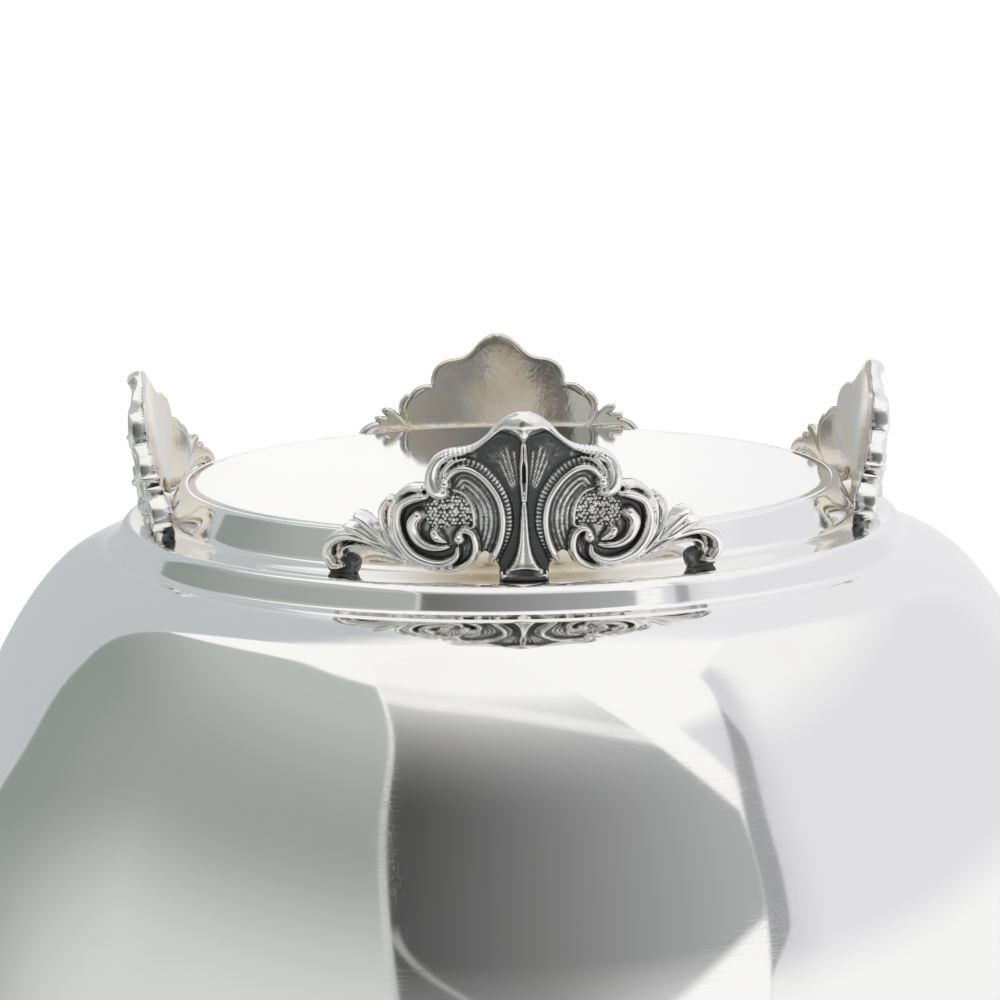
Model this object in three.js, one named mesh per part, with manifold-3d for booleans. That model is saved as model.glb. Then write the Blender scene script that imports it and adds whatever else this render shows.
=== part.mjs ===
// A footed silver sugar bowl: a raised body on a stepped plinth, carried by four cast scroll feet.
// Millimetres, +Z up, the toes of the feet stand on z = 0 and the bowl's axis is the Z axis.
// One foot faces each of -Y (front), +X (right), +Y (back) and -X (left).
import * as THREE from "three";
import { mergeVertices } from "three/addons/utils/BufferGeometryUtils.js";
import Module from "manifold-3d";

const wasm = await Module();
wasm.setup();

// ---- Driving dimensions -------------------------------------------------------------------------
const SOLDER_GAP = 0.3; // left between soldered pieces
const SHEET = 1.0; // gauge of the spun silver sheet

const LEDGE_Z = 15.2; // the ledge that the feet are soldered to
const PLATE_Z = 11.7; // flat plate that closes the plinth underneath
const PLATE_RADIUS = 35.7;
const LEDGE_INNER_RADIUS = 37.6;
const LEDGE_OUTER_RADIUS = 42.0;
const COLLAR_RADIUS = 42.7; // where the collar meets the body
const COLLAR_TOP_Z = 17.3;

const BODY_Z = COLLAR_TOP_Z + SOLDER_GAP; // flat underside of the body
const BODY_FLAT_RADIUS = 41.5;
const SHOULDER_RADIUS = 47.8; // where the soft curve next to the plinth turns into the flank
const SHOULDER_Z = 19.35;
const FLANK_RADIUS = 57.5;
const FLANK_Z = 33.3;
const BELLY_RADIUS = 62.0;
const BELLY_Z = 62.0;
const NECK_RADIUS = 59.0;
const NECK_Z = 88.0;
const LIP_RADIUS = 59.9;
const LIP_Z = 93.5;
const RIM_WIRE_RADIUS = 1.35;

const FOOT_BASE_RADIUS = 38.2; // back face of the foot casting at the ledge
const FOOT_LEAN = 1.0; // how much further out the back face is at the toe
const FOOT_WEB = 1.2; // thickness of the casting between its scrolls
const TOE_RADIUS = 1.9;
const TOE_AXIS_RADIUS = 40.6;
const TOE_FLAT_DEPTH = 0.2; // what standing on the table has worn off the toe

const BODY_CURVE_STEPS = 5; // straight stretches in each curve of the body
const ROUND_SEGMENTS = 60;
const FOOT_ROUND_SEGMENTS = 40;

// ---- Materials ----------------------------------------------------------------------------------
const silver = (color, roughness) =>
  new THREE.MeshStandardMaterial({ color, roughness, metalness: 1 });
const polishedSilver = silver(0xe6e6e4, 0.05);
const castSilver = silver(0xc9c8c2, 0.2);

// ---- Solids -------------------------------------------------------------------------------------
function solidOf(geometry) {
  const bare = geometry.index ? geometry.toNonIndexed() : geometry.clone();
  bare.deleteAttribute("normal");
  bare.deleteAttribute("uv");
  const merged = mergeVertices(bare, 1e-4);
  return new wasm.Manifold(
    new wasm.Mesh({
      numProp: 3,
      vertProperties: merged.attributes.position.array,
      triVerts: new Uint32Array(merged.index.array),
    }),
  );
}

function geometryOf(solid) {
  const mesh = solid.getMesh();
  const geometry = new THREE.BufferGeometry();
  geometry.setAttribute("position", new THREE.BufferAttribute(mesh.vertProperties, 3));
  geometry.setIndex(new THREE.BufferAttribute(mesh.triVerts, 1));
  geometry.computeVertexNormals();
  return geometry;
}

// Turns a profile of [radius, height] points about the Z axis.
function turned(profile, segments = ROUND_SEGMENTS) {
  const points = profile.map(([r, z]) => new THREE.Vector2(r, z));
  return new THREE.LatheGeometry(points, segments).rotateX(Math.PI / 2);
}

function turnedRing(profile, segments) {
  return turned([...profile, profile[0]], segments);
}

// ---- Body ---------------------------------------------------------------------------------------
// The outside of the body from its flat underside up to the lip.
function bodyOutside() {
  const path = new THREE.Path();
  path.moveTo(BODY_FLAT_RADIUS, BODY_Z);
  path.bezierCurveTo(43.9, BODY_Z, 45.9, SHOULDER_Z - 0.95, SHOULDER_RADIUS, SHOULDER_Z);
  path.bezierCurveTo(50.6, SHOULDER_Z + 1.43, 54.75, FLANK_Z - 6.7, FLANK_RADIUS, FLANK_Z);
  path.bezierCurveTo(60.2, FLANK_Z + 6.6, BELLY_RADIUS, 49, BELLY_RADIUS, BELLY_Z);
  path.bezierCurveTo(BELLY_RADIUS, 76, NECK_RADIUS, 80, NECK_RADIUS, NECK_Z);
  path.bezierCurveTo(NECK_RADIUS, 91, 59.1, 92.4, LIP_RADIUS, LIP_Z);
  return path.getPoints(BODY_CURVE_STEPS);
}

// The same line moved inwards by the gauge of the sheet.
function insetLine(points, gauge) {
  return points.map((p, i) => {
    const before = points[Math.max(i - 1, 0)];
    const after = points[Math.min(i + 1, points.length - 1)];
    const along = new THREE.Vector2().subVectors(after, before).normalize();
    return new THREE.Vector2(p.x - along.y * gauge, p.y + along.x * gauge);
  });
}

function bodyGeometry() {
  const outside = bodyOutside();
  const inside = insetLine(outside, SHEET).reverse();
  const wall = [...outside, ...inside].map((p) => [p.x, p.y]);
  return turned([[0, BODY_Z], ...wall, [0, BODY_Z + SHEET]]);
}

function rimWireGeometry() {
  const centreRadius = LIP_RADIUS + 0.4;
  const centreZ = LIP_Z + SOLDER_GAP + RIM_WIRE_RADIUS;
  const sides = 8;
  const profile = Array.from({ length: sides }, (_, i) => {
    const turn = (i / sides) * 2 * Math.PI;
    const r = centreRadius + RIM_WIRE_RADIUS * Math.cos(turn);
    return [r, centreZ + RIM_WIRE_RADIUS * Math.sin(turn)];
  });
  return turnedRing(profile);
}

// ---- Plinth -------------------------------------------------------------------------------------
function collarGeometry() {
  return turnedRing([
    [PLATE_RADIUS, PLATE_Z],
    [PLATE_RADIUS + 0.5, PLATE_Z + 0.3],
    [LEDGE_INNER_RADIUS, LEDGE_Z - 0.4],
    [LEDGE_INNER_RADIUS + 0.6, LEDGE_Z],
    [LEDGE_OUTER_RADIUS - 0.7, LEDGE_Z],
    [LEDGE_OUTER_RADIUS, LEDGE_Z + 0.6],
    [COLLAR_RADIUS, COLLAR_TOP_Z],
    [COLLAR_RADIUS - SHEET, COLLAR_TOP_Z],
    [LEDGE_OUTER_RADIUS - SHEET, LEDGE_Z + SHEET],
    [LEDGE_INNER_RADIUS - SHEET, LEDGE_Z + SHEET],
    [PLATE_RADIUS - SHEET, PLATE_Z + SHEET],
    [PLATE_RADIUS - SHEET, PLATE_Z],
  ]);
}

function plateGeometry() {
  const radius = PLATE_RADIUS - SHEET - SOLDER_GAP;
  return turned([
    [0, PLATE_Z],
    [radius, PLATE_Z],
    [radius, PLATE_Z + SHEET],
    [0, PLATE_Z + SHEET],
  ]);
}

// ---- Feet ---------------------------------------------------------------------------------------
// A foot is drawn in its front view, as [x across, v down from the ledge].
const FOOT_TOP_Z = LEDGE_Z - SOLDER_GAP;

// One half of the outline, from the toe round the scrolls, the leaf and the wing to the base.
const HALF_OUTLINE = [
  [1.0, 14.7],
  [2.4, 13.9],
  [3.6, 12.5],
  [5.2, 11.8],
  [7.2, 11.3],
  [8.5, 10.1],
  [8.7, 8.6],
  [10.2, 8.5],
  [11.6, 7.8],
  [12.7, 7.2],
  [13.3, 5.6],
  [15.1, 5.9],
  [16.4, 4.8],
  [17.6, 3.8],
  [18.5, 2.3],
  [18.0, 0.7],
  [16.8, 0.5],
  [16.3, 1.7],
  [14.4, 2.2],
  [11.8, 1.5],
  [9.2, 0.6],
  [6.6, 0.4],
  [4.6, 1.0],
  [3.5, 1.8],
  [2.5, 1.0],
  [2.0, 0],
];

// The raised bands of one half: the line of each, its half widths at both ends and its height.
const OVER_SCROLL = {
  line: [[3.2, 12.5], [5.4, 11.4], [7.7, 10.2], [7.7, 8.3]],
  widths: [0.4, 0.8],
  lift: 1.0,
};
const BIG_C = {
  line: [[6.6, 9.2], [4.5, 9.6], [2.5, 7.7], [2.0, 5.0], [2.9, 1.9]],
  widths: [0.4, 0.5],
  lift: 1.15,
};
const LOWER_C = {
  line: [[4.4, 3.4], [5.4, 1.8], [7.8, 1.2], [10.4, 2.3], [11.3, 4.8], [10.4, 6.9]],
  widths: [0.8, 0.7],
  lift: 1.05,
};
const LEAF = { line: [[9.0, 1.5], [12.6, 3.1], [14.8, 5.2]], widths: [0.3, 0.6], lift: 0.9 };
const WING = {
  line: [[10.4, 1.5], [14.9, 3.4], [17.0, 3.4], [17.8, 1.8]],
  widths: [0.3, 0.6],
  lift: 1.3,
};
const HALF_BANDS = [OVER_SCROLL, BIG_C, LOWER_C, LEAF, WING];
const SPINDLE = { line: [[0, 12.6], [0, 6.5], [0, 0.9]], widths: [0.4, 1.5], lift: 1.1 };
const SPLINE_STEPS = 1; // straight stretches between two points of a band's line

function footOutline() {
  const half = HALF_OUTLINE.map(([x, v]) => new THREE.Vector2(x, v));
  const other = half.map((p) => new THREE.Vector2(-p.x, p.y)).reverse();
  return new THREE.Shape([...half, ...other]);
}

// A prism of a shape of the front view that runs right through the front foot.
function frontPrism(shape) {
  const depth = 18;
  const prism = new THREE.ExtrudeGeometry(shape, { depth, bevelEnabled: false });
  prism.rotateX(-Math.PI / 2);
  prism.translate(0, -FOOT_BASE_RADIUS - depth / 2, FOOT_TOP_Z);
  return solidOf(prism);
}

// The leaning ring that a foot is cut from, of a given thickness outwards from its back face.
function leaningRing(thickness) {
  const profile = [
    [FOOT_BASE_RADIUS + FOOT_LEAN, 0],
    [FOOT_BASE_RADIUS + FOOT_LEAN + thickness, 0],
    [FOOT_BASE_RADIUS + thickness, FOOT_TOP_Z],
    [FOOT_BASE_RADIUS, FOOT_TOP_Z],
  ];
  return solidOf(turnedRing(profile, FOOT_ROUND_SEGMENTS));
}

// A band's outline: both sides of its line, at a half width that changes along it.
function bandShape({ line, widths }, side) {
  const spline = new THREE.SplineCurve(line.map(([x, v]) => new THREE.Vector2(side * x, v)));
  const steps = SPLINE_STEPS * (line.length - 1);
  const edge = (direction) =>
    spline.getPoints(steps).map((point, i) => {
      const along = spline.getTangent(i / steps);
      const half = direction * THREE.MathUtils.lerp(widths[0], widths[1], i / steps);
      return new THREE.Vector2(point.x - along.y * half, point.y + along.x * half);
    });
  return new THREE.Shape([...edge(1), ...edge(-1).reverse()]);
}

function bandSolid(band, side) {
  return frontPrism(bandShape(band, side)).intersect(leaningRing(FOOT_WEB + band.lift));
}

function toeSolid() {
  const toe = new THREE.SphereGeometry(TOE_RADIUS, 12, 7);
  toe.translate(0, -TOE_AXIS_RADIUS, TOE_RADIUS - TOE_FLAT_DEPTH);
  return solidOf(toe);
}

function aboveTable(solid) {
  const size = 4 * TOE_RADIUS;
  const slab = new THREE.BoxGeometry(size, size, size);
  slab.translate(0, -TOE_AXIS_RADIUS, -size / 2);
  return solid.subtract(solidOf(slab));
}

function footGeometry() {
  let foot = frontPrism(footOutline()).intersect(leaningRing(FOOT_WEB));
  for (const band of HALF_BANDS) {
    foot = foot.add(bandSolid(band, 1)).add(bandSolid(band, -1));
  }
  foot = foot.add(bandSolid(SPINDLE, 1)).add(toeSolid());
  return geometryOf(aboveTable(foot));
}

// ---- Assembly -----------------------------------------------------------------------------------
function named(name, geometry, material) {
  const mesh = new THREE.Mesh(geometry, material);
  mesh.name = name;
  return mesh;
}

const bowl = new THREE.Group();
bowl.add(named("bowl_body", bodyGeometry(), polishedSilver));
bowl.add(named("rim_wire", rimWireGeometry(), polishedSilver));
bowl.add(named("plinth_collar", collarGeometry(), polishedSilver));
bowl.add(named("base_plate", plateGeometry(), polishedSilver));

const foot = footGeometry();
["front", "right", "back", "left"].forEach((place, i) => {
  const mesh = named(`foot_${place}`, foot, castSilver);
  mesh.rotation.z = (i * Math.PI) / 2;
  bowl.add(mesh);
});

export default bowl;
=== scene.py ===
"""A silver sugar bowl on four cast scroll feet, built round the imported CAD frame.

Metres, +Z up. The foot relief and the profiles are drawn in millimetres and scaled once, by MM.
"""
import math

import bpy
import numpy as np
from mathutils import Matrix, Vector


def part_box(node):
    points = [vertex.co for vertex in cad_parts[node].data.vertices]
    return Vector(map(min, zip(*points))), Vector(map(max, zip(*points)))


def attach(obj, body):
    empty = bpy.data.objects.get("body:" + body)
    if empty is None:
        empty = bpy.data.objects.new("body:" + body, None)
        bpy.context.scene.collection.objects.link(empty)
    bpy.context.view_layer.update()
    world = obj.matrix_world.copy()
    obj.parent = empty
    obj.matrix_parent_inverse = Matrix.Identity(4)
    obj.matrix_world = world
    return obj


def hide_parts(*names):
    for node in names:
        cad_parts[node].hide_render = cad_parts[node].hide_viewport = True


MM = 0.001
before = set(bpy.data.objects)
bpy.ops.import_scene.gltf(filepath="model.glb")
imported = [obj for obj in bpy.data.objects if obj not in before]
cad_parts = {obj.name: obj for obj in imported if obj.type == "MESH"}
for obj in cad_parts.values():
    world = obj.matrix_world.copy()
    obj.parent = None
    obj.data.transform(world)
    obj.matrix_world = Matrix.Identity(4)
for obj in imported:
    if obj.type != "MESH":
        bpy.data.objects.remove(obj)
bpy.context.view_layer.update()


# ---- Dimensions taken from the frame, in millimetres ------------------------------------------
def box_mm(node):
    low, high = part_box(node)
    return np.array(low) / MM, np.array(high) / MM


SHEET = 1.0
SOLDER_GAP = 0.3
body_low, body_high = box_mm("bowl_body")
collar_low, collar_high = box_mm("plinth_collar")
_, foot_high = box_mm("foot_front")
_, wire_high = box_mm("rim_wire")

LEDGE_Z = foot_high[2] + SOLDER_GAP
PLATE_Z = collar_low[2]
COLLAR_RADIUS = collar_high[0]
COLLAR_TOP_Z = collar_high[2]
BELLY_RADIUS = body_high[0]
LIP_Z = body_high[2]
WIRE_RADIUS = wire_high[0]
WIRE_TOP_Z = wire_high[2]


# ---- Meshes -----------------------------------------------------------------------------------
def mesh_object(name, vertices, faces):
    mesh = bpy.data.meshes.new(name)
    mesh.from_pydata((np.asarray(vertices) * MM).tolist(), [], faces)
    mesh.validate()
    mesh.shade_smooth()
    obj = bpy.data.objects.new(name, mesh)
    bpy.context.scene.collection.objects.link(obj)
    return obj


def bezier(p0, p1, p2, p3, count):
    t = np.linspace(0, 1, count)[:, None]
    p0, p1, p2, p3 = (np.array(p, float) for p in (p0, p1, p2, p3))
    s = 1 - t
    return s**3 * p0 + 3 * s**2 * t * p1 + 3 * s * t**2 * p2 + t**3 * p3


def rounded_line(corners, steps=7):
    """A line through [radius, height, rounding] corners, each rounded by a curve of that reach."""
    points = [np.array(corners[0][:2], float)]
    for before, corner, after in zip(corners, corners[1:], corners[2:]):
        here = np.array(corner[:2], float)
        back = np.array(before[:2], float) - here
        ahead = np.array(after[:2], float) - here
        reach = min(corner[2], 0.49 * np.linalg.norm(back), 0.49 * np.linalg.norm(ahead))
        start = here + back / np.linalg.norm(back) * reach
        end = here + ahead / np.linalg.norm(ahead) * reach
        points.extend(bezier(start, (start + 2 * here) / 3, (end + 2 * here) / 3, end, steps))
    points.append(np.array(corners[-1][:2], float))
    return np.array(points)


def turned(name, line, segments=288, closed=False):
    """Turns a line of [radius, height] about Z. A closed line makes a ring, an open one ends on the
    axis."""
    on_axis = [not closed and line[i][0] < 1e-6 for i in range(len(line))]
    turn = np.arange(segments) * 2 * math.pi / segments
    vertices, rows = [], []
    for (radius, height), single in zip(line, on_axis):
        first = len(vertices)
        if single:
            vertices.append((0, 0, height))
            rows.append([first] * segments)
        else:
            level = np.full(segments, height)
            ring = np.stack([radius * np.cos(turn), radius * np.sin(turn), level], 1)
            vertices.extend(ring.tolist())
            rows.append(list(range(first, first + segments)))
    pairs = list(zip(rows, rows[1:]))
    if closed:
        pairs.append((rows[-1], rows[0]))
    faces = []
    for low, high in pairs:
        for i in range(segments):
            j = (i + 1) % segments
            corners = dict.fromkeys((low[i], low[j], high[j], high[i]))
            faces.append(tuple(corners))
    return mesh_object(name, vertices, faces)


# ---- Body -------------------------------------------------------------------------------------
BODY_Z = body_low[2]
BODY_FLAT_RADIUS = 41.5
SHOULDER_RADIUS = 47.8
SHOULDER_Z = 19.35
FLANK_RADIUS = 57.5
FLANK_Z = 33.3
BELLY_Z = 62.0
NECK_RADIUS = 59.0
NECK_Z = 88.0
LIP_RADIUS = 59.9

# Each curve of the outside is drawn by the two handles between its end points.
START_HANDLES = (43.9, BODY_Z), (45.9, SHOULDER_Z - 0.95)
UNDER_HANDLES = (50.6, SHOULDER_Z + 1.43), (54.75, FLANK_Z - 6.7)
RISE_HANDLES = (60.2, FLANK_Z + 6.6), (BELLY_RADIUS, 49.0)
SIDE_HANDLES = (BELLY_RADIUS, 76.0), (NECK_RADIUS, 80.0)
LIP_HANDLES = (NECK_RADIUS, 91.0), (59.1, 92.4)


def body_outside():
    """The outside of the body: the edge of its flat, shoulder, flank, belly, neck and lip."""
    shoulder = (SHOULDER_RADIUS, SHOULDER_Z)
    flank = (FLANK_RADIUS, FLANK_Z)
    belly = (BELLY_RADIUS, BELLY_Z)
    neck = (NECK_RADIUS, NECK_Z)
    start = bezier((BODY_FLAT_RADIUS, BODY_Z), *START_HANDLES, shoulder, 24)
    under = bezier(shoulder, *UNDER_HANDLES, flank, 44)
    rise = bezier(flank, *RISE_HANDLES, belly, 40)
    side = bezier(belly, *SIDE_HANDLES, neck, 36)
    lip = bezier(neck, *LIP_HANDLES, (LIP_RADIUS, LIP_Z), 14)
    return np.vstack([start, under[1:], rise[1:], side[1:], lip[1:]])


def inset(line, gauge):
    """The line moved inwards by the gauge of the sheet."""
    along = np.gradient(line, axis=0)
    along /= np.linalg.norm(along, axis=1)[:, None]
    return line + gauge * np.stack([-along[:, 1], along[:, 0]], 1)


def make_body():
    """One closed shell of sheet, with a flat bottom inside the plinth."""
    outside = body_outside()
    inside = inset(outside, SHEET)[::-1]
    floor = np.array([[r, BODY_Z + SHEET] for r in (30, 18, 8, 0)])
    under = np.array([[r, BODY_Z] for r in (0, 20, 35)])
    return turned("body_shell", np.vstack([under, outside, inside, floor]))


WIRE_HALF_WIDTH = 1.35


def make_rim_wire():
    """An oval wire soldered on the lip."""
    middle = (LIP_Z + WIRE_TOP_Z) / 2
    centre = WIRE_RADIUS - WIRE_HALF_WIDTH
    turn = np.linspace(0, 2 * math.pi, 40, endpoint=False)
    half_height = WIRE_TOP_Z - middle
    ring = np.stack([centre + WIRE_HALF_WIDTH * np.cos(turn), middle + half_height * np.sin(turn)], 1)
    return turned("lip_wire", ring, closed=True)


# ---- Plinth -----------------------------------------------------------------------------------
PLATE_RADIUS = 35.7
LEDGE_INNER_RADIUS = 37.6
LEDGE_OUTER_RADIUS = 42.0
PLATE_EDGE_INSET = 0.75
PLATE_DISH = 0.12
LAP_FROM_RADIUS = COLLAR_RADIUS + 0.75
LAP_TO_RADIUS = COLLAR_RADIUS + 1.8
LAP_PROUD = 0.02
LAP_SUNK = 0.12
FILLET_REACH = 0.7


def make_collar():
    """The stepped collar: a sloping inner wall, the ledge, and an outer wall that flows into the body.

    Its last stretch laps on the body: it starts just proud of it and runs out just inside it.
    """
    body = body_outside()
    meet = body[(body[:, 0] > LAP_FROM_RADIUS) & (body[:, 0] < LAP_TO_RADIUS)]
    proud = np.linspace(LAP_PROUD, -LAP_SUNK, len(meet))
    lap = meet - np.stack([np.zeros(len(meet)), proud], 1)
    along = (lap[1] - lap[0]) / np.linalg.norm(lap[1] - lap[0])
    fillet = lap[0] - FILLET_REACH * along
    seen = [
        (PLATE_RADIUS - 0.9, PLATE_Z + 0.02, 0),
        (PLATE_RADIUS, PLATE_Z, 0.7),
        (LEDGE_INNER_RADIUS - 0.1, LEDGE_Z - 0.25, 1.5),
        (LEDGE_INNER_RADIUS + 1.3, LEDGE_Z, 0.6),
        (LEDGE_OUTER_RADIUS - 0.55, LEDGE_Z, 0.6),
        (LEDGE_OUTER_RADIUS + 0.05, LEDGE_Z + 0.5, 0.7),
        (*fillet, 0.55),
        (*lap[0], 0),
    ]
    hidden = [
        (COLLAR_RADIUS + 0.7, COLLAR_TOP_Z + 1.1),
        (COLLAR_RADIUS - SHEET, COLLAR_TOP_Z + 0.9),
        (LEDGE_OUTER_RADIUS - SHEET, LEDGE_Z + SHEET),
        (LEDGE_INNER_RADIUS - SHEET, LEDGE_Z + SHEET),
        (PLATE_RADIUS - SHEET, PLATE_Z + SHEET),
    ]
    section = np.vstack([rounded_line(seen, 11), lap[1:], hidden])
    return turned("stepped_collar", section, closed=True)


def make_plate():
    """The plate under the plinth, very slightly dished by its soldering."""
    edge = PLATE_RADIUS - PLATE_EDGE_INSET
    radii = np.linspace(0, edge, 40)
    face = np.stack([radii, PLATE_Z + PLATE_DISH * (1 - (radii / edge) ** 2)], 1)
    back = np.array([[edge, PLATE_Z + SHEET], [0, PLATE_Z + SHEET]])
    return turned("closing_plate", np.vstack([face, back]))


# ---- Foot relief ------------------------------------------------------------------------------
# A foot is drawn flat in its front view: x across from its middle line, v from the ledge to the
# toe. Only the half with x >= 0 is drawn. A stroke's points are (x, v, half width, height).
# Their places were measured on both halves of the photographed front foot, turned into
# millimetres through the fitted camera, and averaged. Half widths and heights were judged.
CELL = 0.085
HALF_WIDTH = 18.9
TOE_V = LEDGE_Z
GROUND = 0.75
PLAIN_DARK = 0.56

SHOULDER = [
    (1.2, 14.5, 0.50, 1.35), (2.2, 13.9, 0.36, 1.15), (3.1, 12.95, 0.27, 0.95), (4.2, 12.1, 0.32, 0.95),
    (5.3, 11.72, 0.38, 1.0), (6.7, 11.4, 0.5, 1.1), (7.75, 10.65, 0.62, 1.2), (8.2, 9.5, 0.7, 1.3),
    (8.05, 8.4, 0.8, 1.35), (7.5, 7.95, 0.68, 1.25), (7.1, 7.95, 0.5, 1.05),
]
SECOND_TURN = [
    (5.2, 11.05, 0.12, 0.6), (6.3, 10.75, 0.28, 0.85), (7.05, 9.95, 0.34, 1.0), (7.2, 9.2, 0.42, 1.15),
]
BIG_C = [
    (6.75, 9.35, 0.34, 1.1), (6.15, 9.95, 0.36, 1.15), (5.4, 10.2, 0.37, 1.15), (4.5, 10.0, 0.38, 1.15),
    (3.6, 9.35, 0.38, 1.15), (2.8, 8.4, 0.38, 1.15), (2.2, 7.3, 0.38, 1.15), (1.92, 6.1, 0.38, 1.15),
    (1.92, 4.8, 0.38, 1.15), (2.2, 3.5, 0.4, 1.15), (2.65, 2.4, 0.42, 1.1), (3.0, 1.75, 0.36, 0.9),
]
CRESCENT = [
    (6.4, 8.2, 0.1, 0.3), (5.4, 7.85, 0.17, 0.5), (4.75, 7.0, 0.2, 0.55), (4.5, 5.9, 0.2, 0.55),
    (4.55, 4.9, 0.14, 0.4),
]
HOOK = [
    (5.95, 4.2, 0.3, 1.15), (5.35, 4.65, 0.38, 1.25), (4.65, 4.3, 0.42, 1.2), (4.35, 3.3, 0.42, 1.1),
    (4.5, 2.3, 0.42, 1.1), (5.1, 1.5, 0.42, 1.05), (6.2, 0.98, 0.38, 1.0), (7.6, 0.85, 0.32, 0.9),
    (9.0, 1.0, 0.24, 0.75),
]
MAIN_C = [
    (6.0, 2.9, 0.28, 0.9), (6.15, 2.2, 0.38, 1.0), (6.9, 1.65, 0.46, 1.1), (7.9, 1.45, 0.5, 1.15),
    (9.1, 1.7, 0.5, 1.15), (10.2, 2.3, 0.52, 1.15), (11.0, 3.3, 0.52, 1.15), (11.4, 4.5, 0.5, 1.15),
    (11.4, 5.7, 0.47, 1.15), (10.95, 6.75, 0.46, 1.15), (10.0, 7.35, 0.48, 1.2), (9.1, 7.6, 0.42, 1.2),
    (8.75, 7.6, 0.3, 1.05),
]
OVER_LOBE = [
    (9.15, 8.4, 0.4, 1.2), (10.2, 8.3, 0.42, 1.15), (11.1, 7.75, 0.4, 1.05), (11.8, 6.8, 0.34, 0.95),
    (12.1, 5.5, 0.27, 0.85), (11.95, 4.2, 0.24, 0.8), (11.3, 3.0, 0.2, 0.7), (10.2, 1.95, 0.14, 0.5),
]
OUTER_BAND = [
    (12.15, 7.3, 0.36, 1.0), (12.7, 6.5, 0.42, 1.1), (12.85, 5.4, 0.42, 1.1), (12.5, 4.1, 0.38, 1.0),
    (11.7, 2.85, 0.33, 0.9), (10.6, 1.8, 0.27, 0.8), (9.3, 1.2, 0.22, 0.7),
]
LONG_COMMA = [
    (9.5, 5.85, 0.62, 1.3), (9.95, 5.2, 0.68, 1.25), (9.95, 4.4, 0.6, 1.15), (9.5, 3.55, 0.52, 1.05),
    (8.6, 3.0, 0.42, 0.95), (7.5, 2.9, 0.3, 0.8), (6.8, 3.0, 0.15, 0.55),
]
SHORT_COMMA = [(8.05, 4.35, 0.5, 1.25), (7.8, 3.9, 0.5, 1.15), (7.1, 3.5, 0.2, 0.6)]
UPPER_FROND = [
    (10.9, 1.95, 0.18, 0.4), (12.3, 3.05, 0.36, 0.75), (13.3, 4.15, 0.52, 1.15), (14.3, 5.15, 0.62, 1.45),
    (14.95, 5.6, 0.52, 1.4),
]
LOWER_FROND = [
    (11.2, 1.9, 0.18, 0.4), (13.5, 3.3, 0.34, 0.85), (15.1, 4.35, 0.48, 1.2), (16.0, 4.65, 0.42, 1.3),
]
WING_CURL = [
    (11.0, 1.55, 0.2, 0.5), (13.0, 2.8, 0.34, 0.8), (14.9, 3.55, 0.52, 1.1), (16.4, 3.7, 0.66, 1.35),
    (17.5, 3.0, 0.72, 1.55), (17.85, 1.9, 0.62, 1.55), (17.45, 1.0, 0.52, 1.4), (16.9, 0.85, 0.38, 1.2),
]
WING_LIP = [
    (10.6, 1.3, 0.16, 0.4), (12.9, 2.25, 0.22, 0.6), (14.9, 2.7, 0.25, 0.8), (16.0, 2.7, 0.27, 0.9),
    (16.6, 2.3, 0.27, 0.9), (16.75, 1.75, 0.22, 0.8),
]
TWIN_RIB = [(0.1, 12.7, 0.13, 0.8), (0.2, 11.0, 0.15, 0.9), (0.25, 9.3, 0.15, 0.95), (0.12, 7.3, 0.2, 1.05)]
TOE_DROP = [(0.0, 13.7, 1.0, 1.35), (0.0, 13.1, 0.6, 1.2), (0.0, 12.6, 0.25, 0.95)]
BASE_ROLL = [(0.0, 0.1, 0.62, 1.7), (1.2, 0.2, 0.58, 1.6), (1.9, 0.35, 0.4, 1.3)]
VOLUTE_EYE = [(6.95, 8.8, 0.6, 1.5), (6.97, 8.82, 0.6, 1.5)]
HOOK_EYE = [(5.8, 3.82, 0.58, 1.5), (5.82, 3.84, 0.58, 1.5)]

CENTRE_WEB = [
    (-1, 15.2), (0.6, 15.0), (1.6, 14.6), (3.0, 13.1), (4.2, 12.1), (6.4, 11.6), (8.0, 10.5), (8.4, 8.9),
    (9.8, 8.4), (11.2, 7.6), (12.2, 7.0), (12.8, 5.6), (12.5, 3.9), (11.3, 2.2), (9.6, 1.25), (7.0, 0.95),
    (5.2, 1.3), (4.4, 2.0), (3.6, 2.5), (2.9, 1.9), (2.35, 1.1), (2.0, -0.3), (-1, -0.3),
]
WING_WEB = [
    (9.6, 1.5), (12.0, 2.6), (14.5, 3.1), (16.4, 3.4), (16.2, 4.5), (15.2, 4.9), (14.4, 5.2), (13.2, 4.4),
    (12.4, 3.6), (10.6, 2.3),
]
WING_FOOT = [
    (15.3, 1.5), (16.3, 2.0), (17.3, 1.2), (18.3, 1.2), (18.6, 0.4), (17.9, -0.2), (16.2, -0.2),
    (15.5, 0.4),
]
STIPPLED_FIELD = [
    (4.75, 6.9), (6.0, 7.7), (7.2, 7.6), (8.6, 7.1), (9.0, 6.3), (8.8, 5.2), (8.1, 4.7), (6.8, 4.8),
    (5.6, 5.0), (4.7, 5.2),
]


def spline(points, count):
    """A Catmull-Rom curve through the points, in every column they have."""
    p = np.array(points, float)
    p = np.vstack([2 * p[0] - p[1], p, 2 * p[-1] - p[-2]])
    t = np.linspace(0, len(points) - 1 - 1e-9, count)
    i = t.astype(int)
    t = (t - i)[:, None]
    a, b, c, d = p[i], p[i + 1], p[i + 2], p[i + 3]
    return 0.5 * (2 * b + (c - a) * t + (2 * a - 5 * b + 4 * c - d) * t**2 + (3 * b - a - 3 * c + d) * t**3)


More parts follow.
